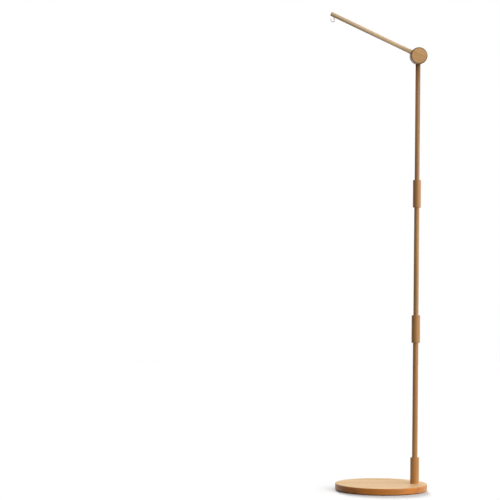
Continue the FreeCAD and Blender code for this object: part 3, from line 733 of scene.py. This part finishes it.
def makeSocket():
    low, high = box["pole_socket"]
    top = high.z - low.z
    bottom = top - socketSize["boreDepth"]
    bore = radiusOf("lower_pole") + poleSize["fit"]
    rim = radiusOf("pole_socket")
    piece = turn("poleSocket", [
        (0, socketSize["boltReach"]),
        (socketSize["boltRadius"], socketSize["boltReach"]),
        (socketSize["boltRadius"], socketSize["insertReach"]),
        (socketSize["insertRadius"], socketSize["insertReach"]),
        (socketSize["insertRadius"], 0),
        (socketSize["tenonRadius"], 0),
        (socketSize["tenonRadius"], socketSize["tenonLength"]),
        (rim, socketSize["tenonLength"]),
        (rim, top, poleSize["sleeveRound"]),
        (bore, top, poleSize["mouthRound"]),
        (bore, bottom),
        (0, bottom),
    ], finish["socket"], standAt(poleX, low.z))
    finishPiece(piece, "base", "pole_socket")


def makeSleeve(name, node, below, above, material):
    low, high = box[node]
    top = high.z - low.z
    rim = radiusOf(node)
    lowBore = radiusOf(below) + poleSize["fit"]
    highBore = radiusOf(above) + poleSize["fit"]
    piece = turn(name, [
        (0, poleSize["plug"]), (lowBore, poleSize["plug"]),
        (lowBore, 0, poleSize["mouthRound"]), (rim, 0, poleSize["sleeveRound"]),
        (rim, top, poleSize["sleeveRound"]), (highBore, top, poleSize["mouthRound"]),
        (highBore, top - poleSize["plug"]), (0, top - poleSize["plug"]),
    ], material, standAt(poleX, low.z))
    finishPiece(piece, node, node)


def makeDowel(name, node, material):
    low, high = box[node]
    start = poleSize["endGap"]
    end = high.z - low.z - start
    rim = radiusOf(node)
    piece = turn(name, [(0, start), (rim, start, poleSize["endRound"]),
                        (rim, end, poleSize["endRound"]), (0, end)],
                 material, standAt(poleX, low.z))
    finishPiece(piece, node, node)


makeSocket()
makeDowel("lowerPole", "lower_pole", finish["lowerPole"])
makeSleeve("lowerSleeve", "lower_sleeve", "lower_pole", "middle_pole", finish["lowerSleeve"])
makeDowel("middlePole", "middle_pole", finish["middlePole"])
makeSleeve("upperSleeve", "upper_sleeve", "middle_pole", "upper_pole", finish["upperSleeve"])
print("pole made")


headSize = {
    "faceRound": 3 * mm,
    "jointRound": 1 * mm,
    "studHole": 3.2 * mm,
    "insertHole": 4.85 * mm,
    "insertDepth": 13 * mm,
    "poleTenon": 5 * mm,
    "poleTenonLength": 18 * mm,
    "armTenon": 4 * mm,
    "armTenonLength": 14 * mm,
    "copeGap": 0.05 * mm,
}
discThick = box["pole_disc"][1].y - box["pole_disc"][0].y
armPlace = Matrix.Translation(pivot) @ Matrix.Rotation(quarter + armRise, 4, "Y")


# a dowel from level start, whose end is hollowed to the disc's rim and carries a tenon;
# the disc's centre is at level 0 of place, and the dowel comes from below it
def makeCopedDowel(name, radius, start, startRound, tenon, tenonLength, material, place):
    shoulder = -math.sqrt(discRadius ** 2 - radius ** 2)
    piece = turn(name, [(0, start), (radius, start, startRound), (radius, shoulder),
                        (0, shoulder)], material, place)
    discPlace = place @ Matrix.Rotation(-quarter, 4, "X")
    rim = cutterCylinder(discRadius + headSize["copeGap"], -2 * radius, 2 * radius,
                         discPlace, 320)
    peg = cutterCylinder(tenon, -discRadius - tenon, tenonLength - discRadius, place)
    peg.data.materials.append(material)
    return combine(piece, ("DIFFERENCE", rim), ("UNION", peg))


def makeDisc(name, corners, material, place, tenon, tenonLength, rodPlace, closed):
    piece = turn(name, corners, material, place, closed=closed, segments=192)
    hole = cutterCylinder(tenon + poleSize["fit"], -discRadius - mm,
                          tenonLength - discRadius + poleSize["fit"], rodPlace)
    return combine(piece, ("DIFFERENCE", hole))


def makeHead():
    foot = box["upper_pole"][0].z - pivot.z
    upright = standAt(poleX, pivot.z)
    piece = makeCopedDowel("upperPole", radiusOf("upper_pole"), foot,
                           poleSize["endRound"], headSize["poleTenon"],
                           headSize["poleTenonLength"], finish["upperPole"], upright)
    finishPiece(piece, "upper_pole", "upper_pole")

    back = box["pole_disc"][0].y
    hole = headSize["studHole"]
    piece = makeDisc("poleDisc", [
        (hole, 0), (discRadius, 0, headSize["jointRound"]),
        (discRadius, discThick, headSize["faceRound"]), (hole, discThick),
    ], finish["poleDisc"], lieAt(back), headSize["poleTenon"],
        headSize["poleTenonLength"], upright, True)
    finishPiece(piece, "upper_pole", "pole_disc")

    front = box["arm_disc"][0].y
    insert = headSize["insertHole"]
    joint = discThick - poleSize["endGap"]
    piece = makeDisc("armDisc", [
        (0, 0), (discRadius, 0, headSize["faceRound"]),
        (discRadius, joint, headSize["jointRound"]), (insert, joint),
        (insert, discThick - headSize["insertDepth"]), (0, discThick - headSize["insertDepth"]),
    ], finish["armDisc"], lieAt(front), headSize["armTenon"],
        headSize["armTenonLength"], armPlace, False)
    finishPiece(piece, "arm", "arm_disc")


makeHead()
print("head made")


armSize = {
    "length": 318 * mm,
    "radius": 7 * mm,
    "tipRound": 2.5 * mm,
    "hookFromTip": 15 * mm,
    "pilotRadius": 1.3 * mm,
    "pilotDepth": 9.1 * mm,
}


def makeArm():
    piece = makeCopedDowel("armRod", armSize["radius"], -armSize["length"],
                           armSize["tipRound"], headSize["armTenon"],
                           headSize["armTenonLength"], finish["arm"], armPlace)
    into = hookPlace()
    combine(piece, ("DIFFERENCE", cutterCylinder(armSize["pilotRadius"], -armSize["pilotDepth"],
                                                 mm, into, 32)))
    finishPiece(piece, "arm", "arm_rod")


# the hook's own frame: Z leaves the arm's underside and X points to the arm's tip
def hookPlace():
    root = armPlace @ Vector((armSize["radius"], 0, armSize["hookFromTip"] - armSize["length"]))
    return Matrix.Translation(root) @ Matrix.Rotation(math.pi + armRise, 4, "Y")


makeArm()

hookSize = {
    "wire": 2.4 * mm,
    "radius": 5.1 * mm,
    "neck": 2.5 * mm,  # radius of the bend between the shank and the bowl
    "drop": 9.8 * mm,  # from the arm's underside to the middle of the bowl
    "sweep": math.radians(220),
    "lip": 8 * mm,  # straight end past the bowl
    "screw": 9 * mm,  # what is inside the arm
    "collarRadius": 3 * mm,
    "collarThick": 0.9 * mm,
    "collarRound": 0.3 * mm,
    "neckSteps": 24,
    "bowlSteps": 96,
}


# Sweeps round wire along a path and domes both of its ends.
def wireTree():
    tree = bpy.data.node_groups.new("bentWire", "GeometryNodeTree")
    for name, kind, value in (
        ("Path", "NodeSocketObject", None),
        ("Wire Radius", "NodeSocketFloat", 0.001),
        ("Sides", "NodeSocketInt", 24),
        ("Step", "NodeSocketFloat", 0.0002),
        ("Finish", "NodeSocketMaterial", None),
    ):
        socket = tree.interface.new_socket(name=name, in_out="INPUT", socket_type=kind)
        if value is not None:
            socket.default_value = value
    tree.interface.new_socket(name="Wire", in_out="OUTPUT", socket_type="NodeSocketGeometry")
    given = addNode(tree, "NodeGroupInput").outputs
    path = addNode(tree, "GeometryNodeObjectInfo", {"Object": given["Path"]})
    even = addNode(tree, "GeometryNodeResampleCurve", {
        "Curve": path.outputs["Geometry"], "Length": given["Step"],
    }, mode="LENGTH")
    along = addNode(tree, "GeometryNodeSplineParameter")
    whole = addNode(tree, "GeometryNodeSplineLength")
    left = addNode(tree, "ShaderNodeMath", {0: whole.outputs[0], 1: along.outputs["Length"]},
                   operation="SUBTRACT")
    toEnd = addNode(tree, "ShaderNodeMath", {0: along.outputs["Length"], 1: left.outputs[0]},
                    operation="MINIMUM")
    share = addNode(tree, "ShaderNodeMath", {0: toEnd.outputs[0], 1: given["Wire Radius"]},
                    operation="DIVIDE")
    short = addNode(tree, "ShaderNodeMath", {0: 1.0, 1: share.outputs[0]}, operation="SUBTRACT",
                    use_clamp=True)
    squared = addNode(tree, "ShaderNodeMath", {0: short.outputs[0], 1: short.outputs[0]},
                      operation="MULTIPLY")
    dome = addNode(tree, "ShaderNodeMath", {0: 1.0, 1: squared.outputs[0]},
                   operation="SUBTRACT")
    root = addNode(tree, "ShaderNodeMath", {0: dome.outputs[0]}, operation="SQRT")
    tapered = addNode(tree, "GeometryNodeSetCurveRadius",
                      {"Curve": even.outputs[0], "Radius": root.outputs[0]})
    ring = addNode(tree, "GeometryNodeCurvePrimitiveCircle",
                   {"Resolution": given["Sides"], "Radius": given["Wire Radius"]})
    swept = addNode(tree, "GeometryNodeCurveToMesh", {
        "Curve": tapered.outputs[0], "Profile Curve": ring.outputs[0],
        "Scale": root.outputs[0],
    })
    closed = addNode(tree, "GeometryNodeMergeByDistance",
                     {"Geometry": swept.outputs[0], "Distance": 1e-6})
    smooth = addNode(tree, "GeometryNodeSetShadeSmooth", {"Geometry": closed.outputs[0]})
    real = addNode(tree, "GeometryNodeRealizeInstances", {"Geometry": smooth.outputs[0]})
    done = addNode(tree, "GeometryNodeSetMaterial",
                   {"Geometry": real.outputs[0], "Material": given["Finish"]})
    addNode(tree, "NodeGroupOutput", {"Wire": done.outputs[0]})
    return tree


def makeHook():
    reach = hookSize["radius"] + hookSize["neck"]
    lean = math.asin(hookSize["neck"] / reach)
    shankEnd = hookSize["drop"] - math.sqrt(reach ** 2 - hookSize["neck"] ** 2)
    points = [Vector((0, 0, -hookSize["screw"]))]
    for i in range(hookSize["neckSteps"] + 1):
        angle = (quarter - lean) * i / hookSize["neckSteps"]
        points.append(Vector((hookSize["neck"] * (math.cos(angle) - 1), 0,
                              shankEnd + hookSize["neck"] * math.sin(angle))))
    for i in range(1, hookSize["bowlSteps"] + 1):
        angle = lean + (hookSize["sweep"] - lean) * i / hookSize["bowlSteps"]
        points.append(Vector((-hookSize["radius"] * math.sin(angle), 0,
                              hookSize["drop"] - hookSize["radius"] * math.cos(angle))))
    lip = Vector((-math.cos(hookSize["sweep"]), 0, math.sin(hookSize["sweep"])))
    points.append(points[-1] + hookSize["lip"] * lip)
    curve = bpy.data.curves.new("hookPath", "CURVE")
    curve.dimensions = "3D"
    spline = curve.splines.new("POLY")
    spline.points.add(len(points) - 1)
    for target, place in zip(spline.points, points):
        target.co = (*place, 1)
    path = bpy.data.objects.new("hookPath", curve)
    scene.collection.objects.link(path)
    piece = makeFromTree("screwHook", wireTree(), {
        "Path": path, "Wire Radius": hookSize["wire"] / 2, "Finish": finish["hook"],
    }, hookPlace())
    bpy.data.objects.remove(path)
    collar = turn("hookCollar", [
        (0, 0), (hookSize["collarRadius"], 0),
        (hookSize["collarRadius"], hookSize["collarThick"], hookSize["collarRound"]),
        (0, hookSize["collarThick"]),
    ], finish["hook"], hookPlace(), segments=64)
    combine(piece, ("UNION", collar))
    finishPiece(piece, "arm", "screw_hook")


makeHook()
print("arm and hook made")


knobSize = {
    "radius": 20 * mm,
    "round": 2 * mm,
    "bore": 3.1 * mm,
    "capHole": 9.1 * mm,
    "capHoleRound": 0.3 * mm,
    "capRadius": 9 * mm,
    "capRound": 0.8 * mm,
    "flutes": 10,
    "fluteRadius": 6 * mm,
    "fluteDepth": 1.6 * mm,
    "headFlats": 10.2 * mm,
    "headDepth": 4 * mm,
}


def makeKnob():
    low, high = box["clamp_knob"]
    thick = high.y - low.y
    capLow, capHigh = box["knob_cap"]
    seat = capLow.y - low.y
    piece = turn("clampKnob", [
        (knobSize["bore"], 0), (knobSize["radius"], 0, knobSize["round"]),
        (knobSize["radius"], thick, knobSize["round"]),
        (knobSize["capHole"], thick, knobSize["capHoleRound"]),
        (knobSize["capHole"], seat), (knobSize["bore"], seat),
    ], finish["knob"], lieAt(low.y), closed=True, segments=320, **{
        "Flutes": knobSize["flutes"],
        "Flute Radius": knobSize["fluteRadius"],
        "Flute Centre": knobSize["radius"] + knobSize["fluteRadius"] - knobSize["fluteDepth"],
        "Rim": knobSize["radius"],
    })
    hexRadius = knobSize["headFlats"] / 2 / math.cos(math.pi / 6)
    combine(piece, ("DIFFERENCE", cutterCylinder(
        hexRadius, seat - knobSize["headDepth"], seat + mm,
        lieAt(low.y) @ Matrix.Rotation(quarter, 4, "Z"), 6)))
    finishPiece(piece, "knob", "clamp_knob")

    capThick = capHigh.y - capLow.y
    piece = turn("knobCap", [
        (0, 0), (knobSize["capRadius"], 0),
        (knobSize["capRadius"], capThick, knobSize["capRound"]), (0, capThick),
    ], finish["poleDisc"], lieAt(capLow.y), segments=96)
    finishPiece(piece, "knob", "knob_cap")


makeKnob()
print("knob made")


for node, material in (
    ("knob_washer", "zinc"), ("knob_stud", "zinc"), ("socket_bolt", "zinc"),
    ("socket_washer", "zinc"), ("ballast_screws", "zinc"), ("ballast_plate", "powder"),
    ("socket_insert", "brass"), ("disc_insert", "brass"), ("friction_ring", "ring"),
):
    for slot in frame["nodes"][node].material_slots:
        slot.material = finish[material]


stageSize = {
    "floorWidth": 14.0,
    "floorLevel": -0.3 * mm,
    "floorPale": "E7E7E7",
    "floorLift": 0.03,  # a faint glow that keeps the far floor white
    "bounce": "7C7C7C",  # the floor as it is to the light that it throws back
    "surround": 0.13,
}
lampSize = {
    # name: strength, spread, degrees to the right of the front, degrees up, whether it glints
    "keyLight": (2.4, 50, 46, 5, True),
    "sideLight": (1.0, 40, 108, 10, True),
    "topLight": (1.32, 60, 55, 54, True),
    "backLight": (1.5, 40, 181, 25, False),
    "floorLight": (4.4, 14, 181, 17, False),
}


# 1 for the eye and for what shines or is clear, 0 for the light that matt surfaces gather
def seenDirectly(tree):
    sight = addNode(tree, "ShaderNodeLightPath").outputs
    shiny = addNode(tree, "ShaderNodeMath", {
        0: sight["Is Camera Ray"], 1: sight["Is Glossy Ray"],
    }, operation="MAXIMUM")
    return addNode(tree, "ShaderNodeMath", {
        0: shiny.outputs[0], 1: sight["Is Transmission Ray"],
    }, operation="MAXIMUM").outputs[0]


# Matt white paint: it takes the soft shadow of the base and shows no gloss.
def makeFloor():
    shape = bmesh.new()
    bmesh.ops.create_grid(shape, x_segments=1, y_segments=1, size=stageSize["floorWidth"] / 2)
    mesh = bpy.data.meshes.new("floor")
    shape.to_mesh(mesh)
    shape.free()
    mesh.transform(Matrix.Translation((0, 0, stageSize["floorLevel"])))
    floor = bpy.data.objects.new("floor", mesh)
    scene.collection.objects.link(floor)
    material, tree = newMaterial("paintedFloor")
    pale = addNode(tree, "ShaderNodeBsdfDiffuse", {"Color": linear(stageSize["floorPale"])})
    lift = addNode(tree, "ShaderNodeEmission", {
        "Color": linear("FFFFFF"), "Strength": stageSize["floorLift"],
    })
    seen = addNode(tree, "ShaderNodeAddShader", {0: pale.outputs[0], 1: lift.outputs[0]})
    dull = addNode(tree, "ShaderNodeBsdfDiffuse", {"Color": linear(stageSize["bounce"])})
    both = addNode(tree, "ShaderNodeMixShader", {
        0: seenDirectly(tree), 1: dull.outputs[0], 2: seen.outputs[0],
    })
    closeMaterial(tree, both)
    mesh.materials.append(material)


def makeWorld():
    world = bpy.data.worlds.new("studio")
    world.use_nodes = True
    tree = world.node_tree
    tree.nodes.clear()
    white = linear("FFFFFF")
    dim = addNode(tree, "ShaderNodeBackground",
                  {"Color": white, "Strength": stageSize["surround"]})
    bright = addNode(tree, "ShaderNodeBackground", {"Color": white, "Strength": 1.0})
    both = addNode(tree, "ShaderNodeMixShader",
                   {0: seenDirectly(tree), 1: dim.outputs[0], 2: bright.outputs[0]})
    addNode(tree, "ShaderNodeOutputWorld", {"Surface": both.outputs[0]})
    scene.world = world


def groupOf(name, piece):
    group = bpy.data.collections.new(name)
    group.objects.link(bpy.data.objects[piece])
    return group


# the floor light reaches the floor alone, where the base throws its soft shadow forwards
def makeLamps():
    for name, (strength, spread, right, up, glints) in lampSize.items():
        lamp = bpy.data.lights.new(name, "SUN")
        lamp.energy = strength
        lamp.angle = math.radians(spread)
        light = bpy.data.objects.new(name, lamp)
        scene.collection.objects.link(light)
        light.rotation_euler = (quarter - math.radians(up), 0, math.radians(right))
        light.visible_glossy = glints
        if name == "floorLight":
            light.light_linking.receiver_collection = groupOf("litByFloorLight", "floor")
            light.light_linking.blocker_collection = groupOf("shadedByBase", "basePlate")


makeFloor()
makeWorld()
makeLamps()


cameraSize = {
    "distance": 6.6,
    "azimuth": math.radians(-7),
    "height": 0.8026,
    "heading": 0.0563,
    "pitch": -0.0033,
    "roll": 0.0082,
    "lens": 145.16,
}


def makeCamera():
    camera = bpy.data.cameras.new("camera")
    camera.lens = cameraSize["lens"]
    camera.clip_end = 100
    holder = bpy.data.objects.new("camera", camera)
    scene.collection.objects.link(holder)
    place = Vector((math.sin(cameraSize["azimuth"]) * cameraSize["distance"],
                    -math.cos(cameraSize["azimuth"]) * cameraSize["distance"],
                    cameraSize["height"]))
    holder.matrix_world = (
        Matrix.Translation(place)
        @ Matrix.Rotation(-cameraSize["heading"], 4, "Z")
        @ Matrix.Rotation(quarter + cameraSize["pitch"], 4, "X")
        @ Matrix.Rotation(cameraSize["roll"], 4, "Z")
    )
    scene.camera = holder


makeCamera()
print("stage and camera made")
